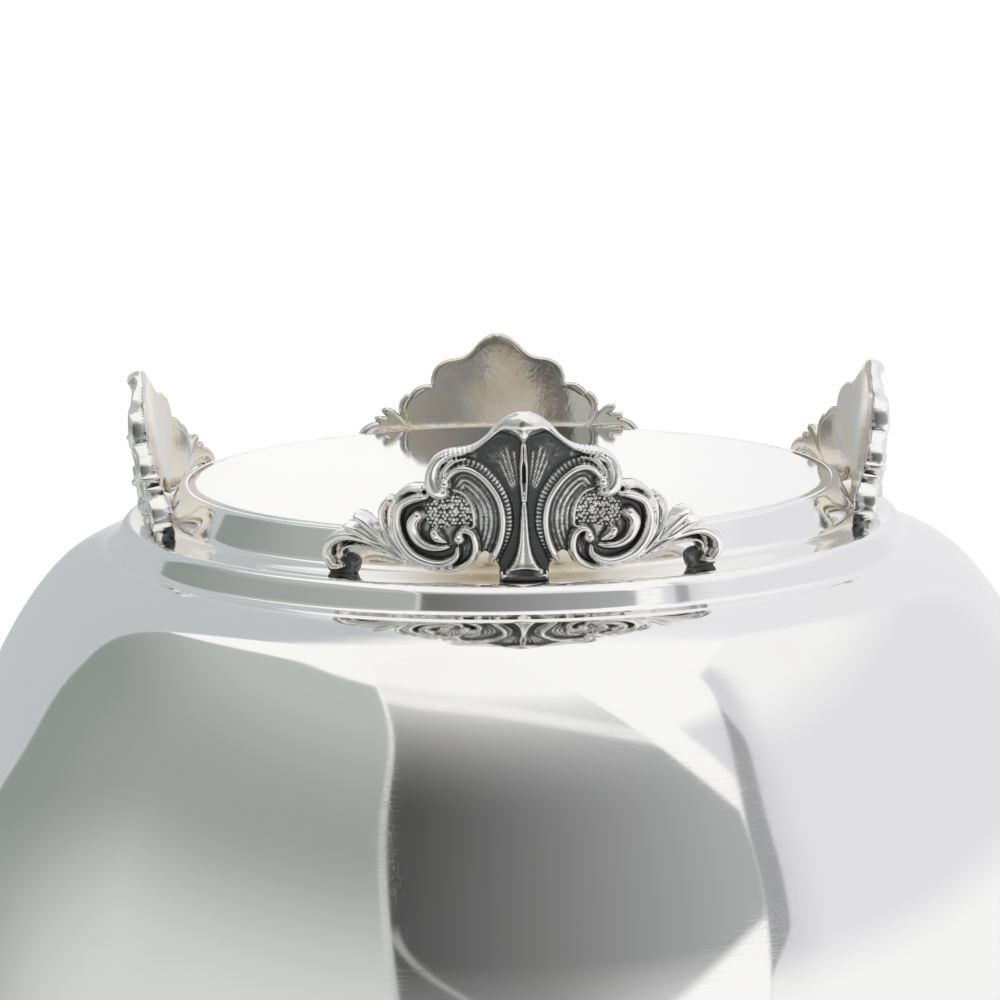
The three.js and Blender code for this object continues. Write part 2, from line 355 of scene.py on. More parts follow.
class Relief:
    """The half foot on a grid: its height, how dark it is (black tarnish in its hollows and painted shade),
    and its distance inside the outline.
    """

    def __init__(self):
        x = np.arange(0, HALF_WIDTH, CELL)
        v = np.arange(-0.3, TOE_V + 4 * CELL, CELL)
        self.x, self.v = np.meshgrid(x, v)
        self.height = np.full(self.x.shape, GROUND)
        self.dark = np.full(self.x.shape, PLAIN_DARK)
        self.inside = np.full(self.x.shape, -9.0)

    def nearest(self, points, count=150):
        """For each grid point the share of the stroke's half width that it is away, and where."""
        line = spline(points, count)
        reach = np.full(self.x.shape, 1e9)
        where = np.zeros(self.x.shape, int)
        for i, (x, v, half, _) in enumerate(line):
            away = np.hypot(self.x - x, self.v - v) / half
            closer = away < reach
            reach[closer] = away[closer]
            where[closer] = i
        return line, reach, where

    def stroke(self, points, flatness=2.6):
        """Raises a rounded band along a line."""
        line, reach, where = self.nearest(points)
        round_top = np.clip(1 - np.clip(reach, 0, 1) ** flatness, 0, 1) ** 0.5
        raised = GROUND + line[where, 3] * round_top
        self.height = np.where(reach < 1, np.maximum(self.height, raised), self.height)
        self.dark *= smooth(reach, 0.72, 1.12)
        self.inside = np.maximum(self.inside, (1 - reach) * line[where, 2])

    def distance_to(self, outline):
        """Signed distance to a closed outline, positive inside it."""
        p = np.array(outline, float)
        q = np.roll(p, -1, 0)
        best = np.full(self.x.shape, 1e9)
        crossings = np.zeros(self.x.shape, int)
        for (ax, av), (bx, bv) in zip(p, q):
            ex, ev = bx - ax, bv - av
            t = np.clip(((self.x - ax) * ex + (self.v - av) * ev) / (ex * ex + ev * ev), 0, 1)
            best = np.minimum(best, np.hypot(self.x - ax - t * ex, self.v - av - t * ev))
            if av != bv:
                spans = (av > self.v) != (bv > self.v)
                crossings += spans & (self.x < ax + (self.v - av) * ex / ev)
        return np.where(crossings % 2 == 1, best, -best)

    def web(self, outline):
        """Adds plain ground inside an outline."""
        self.inside = np.maximum(self.inside, self.distance_to(curved(outline)))


def curved(outline, per_side=6):
    """A closed outline with its sides curved through its points."""
    p = np.array(outline + outline[:3], float)
    t = np.linspace(1, len(outline) + 1, per_side * len(outline), endpoint=False)
    p = np.vstack([outline[-1], p])
    i = t.astype(int)
    t = (t - i)[:, None]
    a, b, c, d = p[i - 1], p[i], p[i + 1], p[i + 2]
    return 0.5 * (2 * b + (c - a) * t + (2 * a - 5 * b + 4 * c - d) * t**2 + (3 * b - a - 3 * c + d) * t**3)


def smooth(value, low, high):
    """0 up to low, 1 from high, and a smooth step between them."""
    t = np.clip((value - low) / (high - low), 0, 1)
    return t * t * (3 - 2 * t)


def blurred(field, radius):
    """Gaussian blur of a grid, with its edge values carried outwards."""
    reach = max(1, int(3 * radius / CELL))
    offsets = np.arange(-reach, reach + 1)
    weights = np.exp(-0.5 * (offsets * CELL / radius) ** 2)
    weights /= weights.sum()
    for axis in (0, 1):
        padded = np.pad(field, [(reach, reach) if a == axis else (0, 0) for a in (0, 1)], mode="edge")
        rows = [np.roll(padded, -o, axis) * w for o, w in zip(offsets, weights)]
        keep = slice(reach, -reach)
        total = sum(rows)
        field = total[keep] if axis == 0 else total[:, keep]
    return field


FAN_CENTRE = (0.3, 6.5)
FAN_RAYS = ((6.2, 5.4), (12.6, 5.9), (17.6, 5.6), (23.0, 4.9))
FAN_RAY_WIDTH = 0.085


def wave(distance, pitch):
    """Runs from -1 to 1 and back over each pitch."""
    return np.cos(distance * 2 * math.pi / pitch)


def fan_field(relief):
    """The sunk field beside the spindle: four fine rays on a ground of faint matting."""
    across, up = relief.x - FAN_CENTRE[0], relief.v - FAN_CENTRE[1]
    turn = np.degrees(np.arctan2(across, up))
    far = np.hypot(across, up)
    lines = np.zeros(relief.x.shape)
    for angle, reach in FAN_RAYS:
        away = far * np.radians(turn - angle)
        ends = smooth(far, 1.6, 2.4) * (1 - smooth(far, reach - 0.4, reach))
        lines = np.maximum(lines, ends * np.exp(-((away / FAN_RAY_WIDTH) ** 2)))
    mat = wave(relief.x, 0.4) * wave(relief.v, 0.36)
    within = (relief.x < 4.2) & (relief.v > 1.0)
    relief.height += within * (0.05 * lines + 0.03 * mat)
    relief.dark = np.where(within, 0.88 - 0.36 * lines - 0.06 * mat, relief.dark)


def scroll_field(relief):
    """The field the big scroll holds, with lines that follow the scroll, and its toothed outer edge."""
    line, reach, where = relief.nearest(BIG_C, 260)
    along = np.concatenate([[0], np.cumsum(np.hypot(*np.diff(line[:, :2], axis=0).T))])[where]
    away = reach * line[where, 2]
    heading = np.gradient(line[:, :2], axis=0)[where]
    across = heading[..., 0] * (relief.v - line[where, 1]) - heading[..., 1] * (relief.x - line[where, 0])

    inner = (across > 0) & (away < 2.7) & (relief.x < 6.9) & (relief.v > 1.3)
    lines = 0.5 + 0.5 * wave(away - 0.62, 0.46)
    relief.height += inner * 0.08 * lines
    relief.dark = np.where(inner, 0.78 - 0.22 * lines, relief.dark)

    edge = 0.98 - 0.25 * smooth(along, 8.5, 11.0)
    outer = (across < 0) & (away > 0.3) & (away < edge) & (where > 14)
    teeth = 0.5 + 0.5 * wave(along, 0.34)
    rise = np.clip(1 - ((away - 0.3) / (edge - 0.3)) ** 3, 0, 1)
    upper = smooth(relief.v, 8.6, 10.2)
    raised = GROUND + (0.3 + 0.22 * teeth) * rise
    relief.height = np.where(outer, np.maximum(relief.height, raised), relief.height)
    relief.dark = np.where(outer, 0.84 - (0.36 - 0.2 * upper) * teeth * rise, relief.dark)


GRAIN_SPACING = 0.39


def stippled_field(relief):
    """Punched grain in the middle of the scrolls: bright round heads on a black ground."""
    inside = relief.distance_to(curved(STIPPLED_FIELD))
    relief.dark = np.where(inside > 0, 0.9, relief.dark)
    grain = np.random.default_rng(11)
    for i, v in enumerate(np.arange(4.5, 8.0, GRAIN_SPACING * 0.87)):
        for x in np.arange(4.6 + GRAIN_SPACING / 2 * (i % 2), 9.2, GRAIN_SPACING):
            jx, jv = grain.normal(0, 0.04, 2)
            away = np.hypot(relief.x - x - jx, relief.v - v - jv)
            head = np.clip(1 - (away / grain.uniform(0.15, 0.19)) ** 2, 0, 1) * (inside > 0.05)
            relief.height = np.maximum(relief.height, GROUND + 0.34 * head**0.5 * (head > 0))
            relief.dark = np.minimum(relief.dark, 0.9 - 1.5 * head)


def shoulder_ticks(relief):
    """Short chased cuts over the shoulder scroll."""
    over = smooth(relief.x, 4.3, 4.9) * (1 - smooth(relief.x, 6.7, 7.3))
    over = over * smooth(relief.v, 10.9, 11.2)
    cuts = 0.5 + 0.5 * wave(relief.x - 0.25 * relief.v, 0.42)
    relief.height -= 0.2 * over * cuts**2
    relief.dark = np.maximum(relief.dark, 0.95 * over * cuts**2)


# (v, half width) and (v, height) of the spear
SPEAR_WIDTHS = [
    (0.0, 2.2), (0.8, 1.75), (1.6, 1.15), (2.4, 0.8), (3.4, 0.56), (4.7, 0.42), (6.5, 0.3), (7.4, 0.2),
]
SPEAR_HEIGHTS = [(0.0, 1.35), (1.5, 1.1), (4.7, 1.0), (7.4, 0.9)]


def spear(relief):
    """The spindle's lower end: a flat spear that widens towards the ledge."""
    half = np.interp(relief.v, *zip(*SPEAR_WIDTHS))
    level = np.interp(relief.v, *zip(*SPEAR_HEIGHTS))
    share = relief.x / half
    from_middle = np.clip(share, 0, 1)
    flat_top = level * np.clip(1 - from_middle**5, 0, 1) ** 0.5
    top = GROUND + flat_top - 0.12 * (1 - from_middle)
    on = (share < 1) & (relief.v < 7.3)
    relief.height = np.where(on, np.maximum(relief.height, top), relief.height)
    relief.dark = np.where(on, relief.dark * smooth(share, 0.8, 1.1), relief.dark)


def toe_and_base(relief):
    """The toe's smooth dome, and the turned-out base, whose front lies in shadow and stays dark."""
    for points in (TOE_DROP, BASE_ROLL):
        relief.stroke(points, flatness=2.0)
    from_middle = (relief.x / 2.3) ** 2 + ((relief.v - 14.5) / 1.55) ** 2
    dome = np.sqrt(np.clip(1 - from_middle, 0, 1))
    relief.height = np.maximum(relief.height, GROUND + 1.65 * dome)
    relief.dark *= 1 - smooth(dome, 0.05, 0.4)
    toe = smooth(relief.v, 12.9, 13.6) * (1 - smooth(relief.x, 2.0, 3.2))
    relief.height = toe * blurred(relief.height, 0.28) + (1 - toe) * relief.height
    relief.inside = toe * blurred(relief.inside, 0.5) + (1 - toe) * relief.inside
    # A hollow at the front of the base; its dark is painted shadow.
    mouth = 1 - smooth(np.hypot(relief.x / 2.1, (relief.v - 0.35) / 0.75), 0.75, 1.05)
    relief.height -= 0.35 * mouth
    relief.dark = np.maximum(relief.dark, 0.72 * mouth)
    # Painted shade: the base's front is darkened along the ledge.
    relief.dark = np.maximum(relief.dark, 2.0 * (1 - smooth(relief.v, 0.1, 0.9)) * (relief.x < 2.6))


def wing_foot(relief):
    """The lump under the wing's curl, by which the wing is soldered to the ledge, painted dark as the
    shadow under the curl.
    """
    relief.web(WING_FOOT)
    inside = relief.distance_to(curved(WING_FOOT))
    # Painted shadow: the lump is darkened as the shade under the wing's curl.
    relief.dark = np.where(inside > -0.1, np.maximum(relief.dark, 0.85), relief.dark)


def foot_relief():
    relief = Relief()
    relief.web(CENTRE_WEB)
    relief.web(WING_WEB)
    wing_foot(relief)
    fan_field(relief)
    scroll_field(relief)
    stippled_field(relief)
    for points in (TWIN_RIB, BIG_C, SECOND_TURN, SHOULDER):
        relief.stroke(points)
    shoulder_ticks(relief)
    for points in (CRESCENT, UPPER_FROND, LOWER_FROND, WING_LIP, WING_CURL, OUTER_BAND, OVER_LOBE):
        relief.stroke(points)
    for points in (LONG_COMMA, SHORT_COMMA, MAIN_C, HOOK, HOOK_EYE, VOLUTE_EYE):
        relief.stroke(points)
    spear(relief)
    toe_and_base(relief)
    relief.inside = np.minimum(relief.inside, np.minimum(relief.v + 0.25, TOE_V - relief.v))
    relief.inside = blurred(relief.inside, 0.05)
    relief.height = blurred(relief.height, 0.05)
    return relief


BACK_RADIUS = 38.4
BACK_LEAN = 0.8
WRAP_RADIUS = 40.3
BURIED_SHARE = 0.3
INNER_SIDE_DARK = 0.35


def point_attribute(obj, name, values):
    mark = obj.data.attributes.new(name, "FLOAT", "POINT")
    mark.data.foreach_set("value", values.astype(np.float32))


def foot_mesh(name):
    """The relief wrapped on the ring the four feet stand in, closed by a plain back."""
    relief = foot_relief()

    def whole(half):
        return np.concatenate([half[:, :0:-1], half], 1)

    x = np.concatenate([-relief.x[:, :0:-1], relief.x], 1)
    v, height, inside, dark = (whole(f) for f in (relief.v, relief.height, relief.inside, relief.dark))

    kept = inside > -0.5 * CELL
    cells = kept[:-1, :-1] & kept[1:, :-1] & kept[:-1, 1:] & kept[1:, 1:]
    around = np.zeros(x.shape, int)
    for rows in (slice(None, -1), slice(1, None)):
        for columns in (slice(None, -1), slice(1, None)):
            around[rows, columns] += cells
    used = around > 0
    border = used & (around < 4)

    slope_v, slope_x = np.gradient(inside, CELL)
    steep = np.maximum(slope_x**2 + slope_v**2, 0.3)
    x = np.where(border, x - inside * slope_x / steep, x)
    v = np.minimum(np.where(border, v - inside * slope_v / steep, v), TOE_V)
    inside = np.where(border, 0, np.maximum(inside, 0))

    edge = 0.45 + 1.0 * smooth(v, 12.6, 14.6)
    swell = np.sqrt(np.clip(1 - (1 - np.clip(inside / edge, 0, 1)) ** 2, 0, 1))
    thickness = height * swell
    hollow = blurred(height, 0.22) - height
    wide_hollow = blurred(height, 0.8) - height
    # Black tarnish in the hollows, together with the painted shade laid into the dark field at the bases
    # and under the curls.
    oxide_and_shade = np.clip(dark * (0.75 + 0.5 * wide_hollow) + 1.3 * np.clip(hollow, -0.3, 0.5), 0, 1)

    back = BACK_RADIUS + BACK_LEAN * v / TOE_V
    buried = BURIED_SHARE * height
    front_radius = back + buried + (thickness - buried * swell)
    back_radius = back + buried * (1 - swell)

    turn = np.arcsin(np.clip(x / WRAP_RADIUS, -1, 1))

    def placed(radius):
        return np.stack([radius * np.sin(turn), -radius * np.cos(turn), LEDGE_Z - v], -1)

    front_index = np.full(x.shape, -1)
    front_index[used] = np.arange(used.sum())
    back_index = front_index.copy()
    inner = used & ~border
    back_index[inner] = used.sum() + np.arange(inner.sum())
    vertices = np.vstack([placed(front_radius)[used], placed(back_radius)[inner]])

    rows, columns = np.nonzero(cells)

    def quads(index):
        corners = (rows, columns), (rows, columns + 1), (rows + 1, columns + 1), (rows + 1, columns)
        return np.stack([index[c] for c in corners], 1)

    faces = np.vstack([quads(front_index)[:, ::-1], quads(back_index)])
    foot = mesh_object(name, vertices, faces.tolist())
    inner_dark = np.full(inner.sum(), INNER_SIDE_DARK)
    point_attribute(foot, "oxide_and_shade", np.concatenate([oxide_and_shade[used], inner_dark]))
    point_attribute(foot, "inner_side", np.concatenate([np.zeros(used.sum()), np.ones(inner.sum())]))
    return foot


def make_feet():
    """The same casting four times, as the one model gave four castings."""
    feet = {}
    front = foot_mesh("scroll_foot_front")
    for number, side in enumerate(("front", "right", "back", "left")):
        foot = front
        if number:
            foot = bpy.data.objects.new("scroll_foot_" + side, front.data.copy())
            foot.data.transform(Matrix.Rotation(number * math.pi / 2, 4, "Z"))
            bpy.context.scene.collection.objects.link(foot)
        feet["foot_" + side] = foot
    return feet


# ---- Materials --------------------------------------------------------------------------------
class Shader:
    """Builds a node tree. A number or colour given for a socket is set on it; a socket is linked."""

    def __init__(self, tree):
        self.tree = tree
        tree.nodes.clear()

    def add(self, kind, inputs=None, **settings):
        made = self.tree.nodes.new(kind)
        for key, value in settings.items():
            setattr(made, key, value)
        for key, value in (inputs or {}).items():
            if isinstance(value, bpy.types.NodeSocket):
                self.tree.links.new(value, made.inputs[key])
            else:
                made.inputs[key].default_value = value
        return made

    def math(self, operation, *values, clamp=False):
        made = self.add("ShaderNodeMath", dict(enumerate(values)), operation=operation, use_clamp=clamp)
        return made.outputs[0]

    def ramp(self, value, low, high, to_low=0.0, to_high=1.0, kind="SMOOTHSTEP"):
        inputs = {"Value": value, "From Min": low, "From Max": high, "To Min": to_low, "To Max": to_high}
        return self.add("ShaderNodeMapRange", inputs, interpolation_type=kind).outputs[0]

    def mix(self, share, a, b):
        """Mixes colours. Sockets go by number, because the Mix node has several of one name."""
        made = self.add("ShaderNodeMix", {0: share, 6: a, 7: b}, data_type="RGBA")
        return made.outputs[2]

    def total(self, *values):
        so_far = values[0]
        for value in values[1:]:
            so_far = self.math("ADD", so_far, value)
        return so_far

    def product(self, *values):
        so_far = values[0]
        for value in values[1:]:
            so_far = self.math("MULTIPLY", so_far, value)
        return so_far

    def noise(self, where, scale, detail=2.0, roughness=0.5):
        inputs = {"Vector": where, "Scale": scale, "Detail": detail, "Roughness": roughness}
        return self.add("ShaderNodeTexNoise", inputs).outputs["Fac"]

    def attribute(self, name):
        return self.add("ShaderNodeAttribute", attribute_name=name).outputs["Fac"]


def start_material(name):
    """A new material, its shader, and the coordinates that its patterns lie in."""
    material = bpy.data.materials.new(name)
    material.use_nodes = True
    shader = Shader(material.node_tree)
    here = shader.add("ShaderNodeTexCoord").outputs["Object"]
    return material, shader, here


def end_material(shader, colour, roughness, bumps):
    """bumps is a list of (height socket, distance in metres)."""
    normal = None
    for height, distance in bumps:
        inputs = {"Height": height, "Distance": distance, "Strength": 1.0}
        if normal is not None:
            inputs["Normal"] = normal
        normal = shader.add("ShaderNodeBump", inputs).outputs["Normal"]
    inputs = {"Base Color": colour, "Metallic": 1.0, "Roughness": roughness, "Normal": normal}
    surface = shader.add("ShaderNodeBsdfPrincipled", inputs)
    shader.add("ShaderNodeOutputMaterial", {"Surface": surface.outputs[0]})


SILVER = (0.93, 0.925, 0.915, 1)
CREAM_SILVER = (0.90, 0.875, 0.83, 1)
# Brown of tarnish and of painted contact shadow on the ledge under the feet.
TARNISH_AND_SHADOW_BROWN = (0.42, 0.34, 0.18, 1)
# Black of tarnish in the feet's hollows, and of painted shade at their bases and under their curls.
OXIDE_AND_SHADE = (0.115, 0.117, 0.118, 1)
GREY_OXIDE = (0.72, 0.70, 0.66, 1)
BROWN_TARNISH = (0.78, 0.70, 0.56, 1)
SCRATCH_DEPTH = 0.0000003


def round_axis(shader, here):
    """Coordinates that follow a turned surface: way round (at the plinth's radius), height, radius."""
    parts = shader.add("ShaderNodeSeparateXYZ", {"Vector": here}).outputs
    around = shader.math("MULTIPLY", shader.math("ARCTAN2", parts["Y"], parts["X"]), COLLAR_RADIUS * MM)
    squares = [shader.math("POWER", parts[axis], 2.0) for axis in "XY"]
    out = shader.math("SQRT", shader.math("ADD", *squares))
    joined = shader.add("ShaderNodeCombineXYZ", {"X": around, "Y": parts["Z"], "Z": out}).outputs[0]
    return joined, parts, out


def hairlines(shader, where, stretch, scale, share):
    """Thin scratches: noise drawn out in one direction, of which only the crests are kept."""
    drawn = shader.add("ShaderNodeMapping", {"Vector": where, "Scale": stretch}).outputs[0]
    crest = shader.math("ABSOLUTE", shader.math("SUBTRACT", shader.noise(drawn, scale, 1.0), 0.5))
    fine = shader.ramp(crest, 0.0, 0.012, 1.0, 0.0)
    patch = shader.ramp(shader.noise(where, 160.0, 2.0), 0.62 - share, 0.75 - share)
    return shader.math("MULTIPLY", fine, patch)


def silver(name, gloss=0.045, worn=0.25):
    """Polished silver: hairline scratches, a faint unevenness from the hammer and buff, thin tarnish."""
    material, shader, here = start_material(name)
    turned_way, _, _ = round_axis(shader, here)
    lines = hairlines(shader, turned_way, (0.05, 1.0, 1.0), 2600.0, worn)
    cross = hairlines(shader, here, (1.0, 0.12, 0.5), 1900.0, worn - 0.1)
    scratches = shader.math("MAXIMUM", lines, cross)
    cloud = shader.noise(here, 55.0, 4.0, 0.6)
    tint = shader.ramp(cloud, 0.45, 0.8)
    colour = shader.mix(shader.math("MULTIPLY", tint, 0.45), SILVER, CREAM_SILVER)
    dull = shader.ramp(cloud, 0.3, 0.8, gloss * 0.8, gloss * 1.7)
    roughness = shader.math("ADD", dull, shader.math("MULTIPLY", scratches, 0.06))
    waves = shader.noise(here, 70.0, 1.0)
    end_material(shader, colour, roughness, [(waves, 0.00002), (scratches, -SCRATCH_DEPTH)])
    return material


def plinth_silver(name):
    """As the body, with brown tarnish and painted contact shadow on the ledge where each foot is soldered,
    and small pits of solder.
    """
    material, shader, here = start_material(name)
    turned_way, parts, out = round_axis(shader, here)
    lines = hairlines(shader, turned_way, (0.05, 1.0, 1.0), 2600.0, 0.3)
    cloud = shader.noise(here, 90.0, 4.0, 0.65)
    off_axis = [shader.math("ABSOLUTE", parts[axis]) for axis in "XY"]
    near = shader.math("MINIMUM", *off_axis)
    ragged = shader.math("ADD", near, shader.math("MULTIPLY", cloud, 0.010))
    reach = shader.ramp(ragged, 0.007, 0.021, 1.0, 0.0)
    level = shader.ramp(parts["Z"], (LEDGE_Z - 2.5) * MM, (LEDGE_Z - 0.2) * MM)
    inwards = shader.ramp(out, (LEDGE_INNER_RADIUS + 1.0) * MM, (LEDGE_OUTER_RADIUS - 0.5) * MM, 1.0, 0.25)
    below_wall = shader.ramp(parts["Z"], (LEDGE_Z + 0.15) * MM, (LEDGE_Z + 0.5) * MM, 1.0, 0.0)
    at_foot = shader.math("MULTIPLY", reach, level)
    on_ledge = shader.math("MULTIPLY", inwards, below_wall)
    # The ledge under each foot is browned: tarnish, and painted shadow where the foot shades it.
    foot_tarnish_and_shadow = shader.math("MULTIPLY", at_foot, on_ledge)
    patchy_tarnish_and_shadow = shader.math("MULTIPLY", foot_tarnish_and_shadow, shader.ramp(cloud, 0.3, 0.62, 0.3, 0.9))
    specks = shader.ramp(shader.noise(here, 1500.0, 2.0), 0.66, 0.72)
    specks = shader.math("MULTIPLY", specks, shader.math("MULTIPLY", foot_tarnish_and_shadow, 0.8))
    colour = shader.mix(patchy_tarnish_and_shadow, SILVER, TARNISH_AND_SHADOW_BROWN)
    colour = shader.mix(specks, colour, GREY_OXIDE)
    dull = shader.ramp(cloud, 0.3, 0.8, 0.05, 0.11)
    dull = shader.math("ADD", dull, shader.math("MULTIPLY", patchy_tarnish_and_shadow, 0.22))
    roughness = shader.math("ADD", dull, shader.math("MULTIPLY", lines, 0.10))
    waves = shader.noise(here, 120.0, 1.0)
    bumps = [(waves, 0.000012), (lines, -SCRATCH_DEPTH), (specks, 0.00003)]
    end_material(shader, colour, roughness, bumps)
    return material


def cast_silver(name):
    """Cast silver feet: high parts rubbed bright, hollows blackened, painted shade blackened at the base
    and under the wings' curls, the inner side tarnished brown.
    """
    material, shader, here = start_material(name)
    oxide_and_shade = shader.attribute("oxide_and_shade")
    inner = shader.attribute("inner_side")
    fine = shader.noise(here, 2400.0, 3.0, 0.6)
    cloud = shader.noise(here, 260.0, 3.0)
    shift = shader.math("MULTIPLY", shader.math("SUBTRACT", fine, 0.5), 0.4)
    depth = shader.math("ADD", oxide_and_shade, shift)
    black = shader.ramp(depth, 0.30, 0.76)
    high = shader.mix(shader.ramp(cloud, 0.4, 0.7), SILVER, CREAM_SILVER)
    front = shader.mix(black, high, OXIDE_AND_SHADE)
    brown = shader.mix(shader.ramp(cloud, 0.35, 0.65), GREY_OXIDE, BROWN_TARNISH)
    colour = shader.mix(shader.math("MULTIPLY", inner, 0.85), front, brown)
    shine = shader.ramp(black, 0.0, 1.0, 0.09, 0.42)
    roughness = shader.math("ADD", shine, shader.math("MULTIPLY", shader.ramp(cloud, 0.3, 0.7), 0.06))
    end_material(shader, colour, roughness, [(cloud, 0.00006), (fine, 0.000012)])
    return material


def floor_material():
    """A pale matt sheet that is seen from above only."""
    material, shader, here = start_material("pale_floor")
    cloud = shader.noise(here, 3.0, 3.0)
    colour = shader.mix(cloud, (0.80, 0.80, 0.80, 1), (0.84, 0.84, 0.835, 1))
    matt = shader.add("ShaderNodeBsdfDiffuse", {"Color": colour})
    clear = shader.add("ShaderNodeBsdfTransparent")
    behind = shader.add("ShaderNodeNewGeometry").outputs["Backfacing"]
    both = shader.add("ShaderNodeMixShader", {0: behind, 1: matt.outputs[0], 2: clear.outputs[0]})
    shader.add("ShaderNodeOutputMaterial", {"Surface": both.outputs[0]})
    return material


# ---- Studio -----------------------------------------------------------------------------------
def grey(value, red=1.0, green=1.0, blue=1.0):
    return (value * red, value * green, value * blue, 1)


class Sky(Shader):
    """A world's nodes, with each direction as two angles and the shapes that screens are cut from.

    The angles are in degrees: turn is 0 towards the front and positive towards -X, and tilt is
    positive downwards, because the bowl was photographed standing on its rim.
    """

    def __init__(self, tree):
        super().__init__(tree)
        way = self.add("ShaderNodeTexCoord").outputs["Generated"]
        parts = self.add("ShaderNodeSeparateXYZ", {"Vector": way}).outputs
        minus = [self.math("MULTIPLY", parts[i], -1.0) for i in range(3)]
        self.turn = self.math("DEGREES", self.math("ARCTAN2", minus[0], minus[1]))
        self.tilt = self.math("DEGREES", self.math("ARCSINE", minus[2]))
        self.colour = grey(1.0)

    def beyond(self, value, start, side, power, amount):
        """amount x (how far value is past start, on one side) to a power."""
        far = self.math("MULTIPLY", self.math("SUBTRACT", value, start), side)
        return self.math("MULTIPLY", self.math("POWER", self.math("MAXIMUM", far, 0.0), power), amount)

    def past(self, value, edge, soft=0.4):
        """0 before the edge, 1 past it."""
        return self.ramp(self.math("SUBTRACT", value, edge), -soft, soft)

    def before(self, value, edge, soft=0.4):
        """1 before the edge, 0 past it."""
        return self.ramp(self.math("SUBTRACT", value, edge), -soft, soft, 1.0, 0.0)

    def lay(self, share, colour):
        """Lays a colour over what is there."""
        self.colour = self.mix(share, self.colour, colour)


LEFT_CORNER = -80.0
RIGHT_CORNER = 98.0


def left_outer_edge(sky):
    """Where the left screen ends towards the back."""
    high = sky.beyond(sky.tilt, 20.0, 1.0, 1.0, -0.27)
    low = sky.beyond(sky.tilt, 8.0, -1.0, 2.0, -0.034)
    return sky.total(-118.3, high, low)


def left_near_edge(sky):
    """Where the left screen meets the dark one."""
    lean = sky.math("MULTIPLY", sky.tilt, -0.155)
    return sky.total(-25.0, lean, sky.beyond(sky.tilt, 33.0, 1.0, 2.9, -0.00112))


def walls_behind(sky, left_outer):
    """A pale lilac wall on the left, a paler one on the right."""
    turn, tilt = sky.turn, sky.tilt
    sides = sky.before(turn, left_outer, 1.0), sky.past(turn, -168.0, 6.0)
    sky.lay(sky.product(*sides, sky.before(tilt, 60.0, 5.0)), grey(0.565, 0.96, 1.0, 1.035))
    sides = sky.past(turn, 118.0, 12.0), sky.before(turn, 168.0, 8.0)
    sky.lay(sky.product(*sides, sky.before(tilt, 60.0, 8.0), 0.85), grey(0.83, 0.985, 0.99, 1.03))


def left_screen(sky, near_edge, outer_edge):
    """A grey-green screen, lighter at its top and at its foot."""
    turn, tilt = sky.turn, sky.tilt
    top = sky.total(60.0, sky.beyond(turn, LEFT_CORNER, -1.0, 2.0, -0.0098))
    sides = sky.before(turn, near_edge), sky.past(turn, outer_edge, 0.8)
    shape = sky.product(*sides, sky.before(tilt, top, 0.8))
    across = sky.ramp(turn, -115.0, -82.0)
    colour = sky.mix(across, grey(0.30, 0.95, 1.04, 0.99), grey(0.365, 0.97, 1.03, 0.99))
    low_line = sky.total(tilt, sky.beyond(turn, LEFT_CORNER, -1.0, 1.0, 0.6))
    colour = sky.mix(sky.ramp(low_line, -14.0, 20.0, 1.0, 0.0), colour, grey(0.68, 0.985, 1.02, 0.985))
    colour = sky.mix(sky.ramp(tilt, 24.0, 54.0), colour, grey(0.51, 0.98, 1.02, 0.98))
    sky.lay(shape, colour)


def dark_screen(sky, left_edge):
    """A dark screen in front, its top fading, with a light arc across the fade."""
    turn, tilt = sky.turn, sky.tilt
    dark_left = sky.total(left_edge, 1.3)
    dark_right = sky.total(45.0, sky.beyond(tilt, 23.5, 1.0, 1.0, -0.62))
    dark_right = sky.total(dark_right, sky.beyond(tilt, 2.0, -1.0, 1.0, -1.75))
    right_soft = sky.ramp(tilt, -1.0, 6.0, 2.5, 0.5)
    inside_right = sky.math("DIVIDE", sky.math("SUBTRACT", dark_right, turn), right_soft)
    shape = sky.product(sky.past(turn, dark_left, 0.3), sky.ramp(inside_right, -1.0, 1.0))

    across = sky.math("POWER", sky.ramp(turn, -24.0, 42.0, kind="LINEAR"), 1.2)
    colour = sky.mix(across, grey(0.084), grey(0.43, 0.98, 1.0, 1.01))
    lift = sky.beyond(tilt, 28.0, 1.0, 2.0, 1 / 35**2)
    low_lift = sky.beyond(tilt, -1.0, -1.0, 1.0, 0.016)
    low_lift = sky.product(low_lift, sky.ramp(turn, 0.0, 30.0, 1.0, 3.5))
    colour = sky.mix(sky.math("MINIMUM", sky.total(lift, low_lift), 1.0), colour, grey(1.0))

    fall = sky.beyond(turn, -20.0, 1.0, 1.0, -0.02), sky.beyond(turn, -20.0, 1.0, 2.0, -0.0043)
    arc = sky.total(55.2, *fall)
    above_arc = sky.past(tilt, arc, 1.2)
    colour = sky.mix(sky.product(above_arc, 0.25), colour, grey(0.9))
    bar = sky.product(above_arc, sky.before(tilt, sky.total(arc, 4.0), 1.5))
    colour = sky.mix(sky.product(bar, 0.6), colour, grey(1.0))

    corner = sky.total(-24.5, sky.beyond(tilt, 5.0, -1.0, 2.0, 0.1))
    far_side = sky.before(turn, sky.total(corner, 1.8), 0.3)
    corner_line = sky.product(sky.past(turn, corner, 0.3), far_side, sky.before(tilt, 4.0, 2.0))
    colour = sky.mix(sky.product(corner_line, 0.6), colour, grey(0.55))
    sky.lay(shape, colour)

    sides = sky.past(turn, left_edge, 0.2), sky.before(turn, dark_left, 0.2)
    sky.lay(sky.product(*sides, sky.before(tilt, 45.0, 12.0), 0.8), grey(0.50, 0.98, 1.02, 1.0))


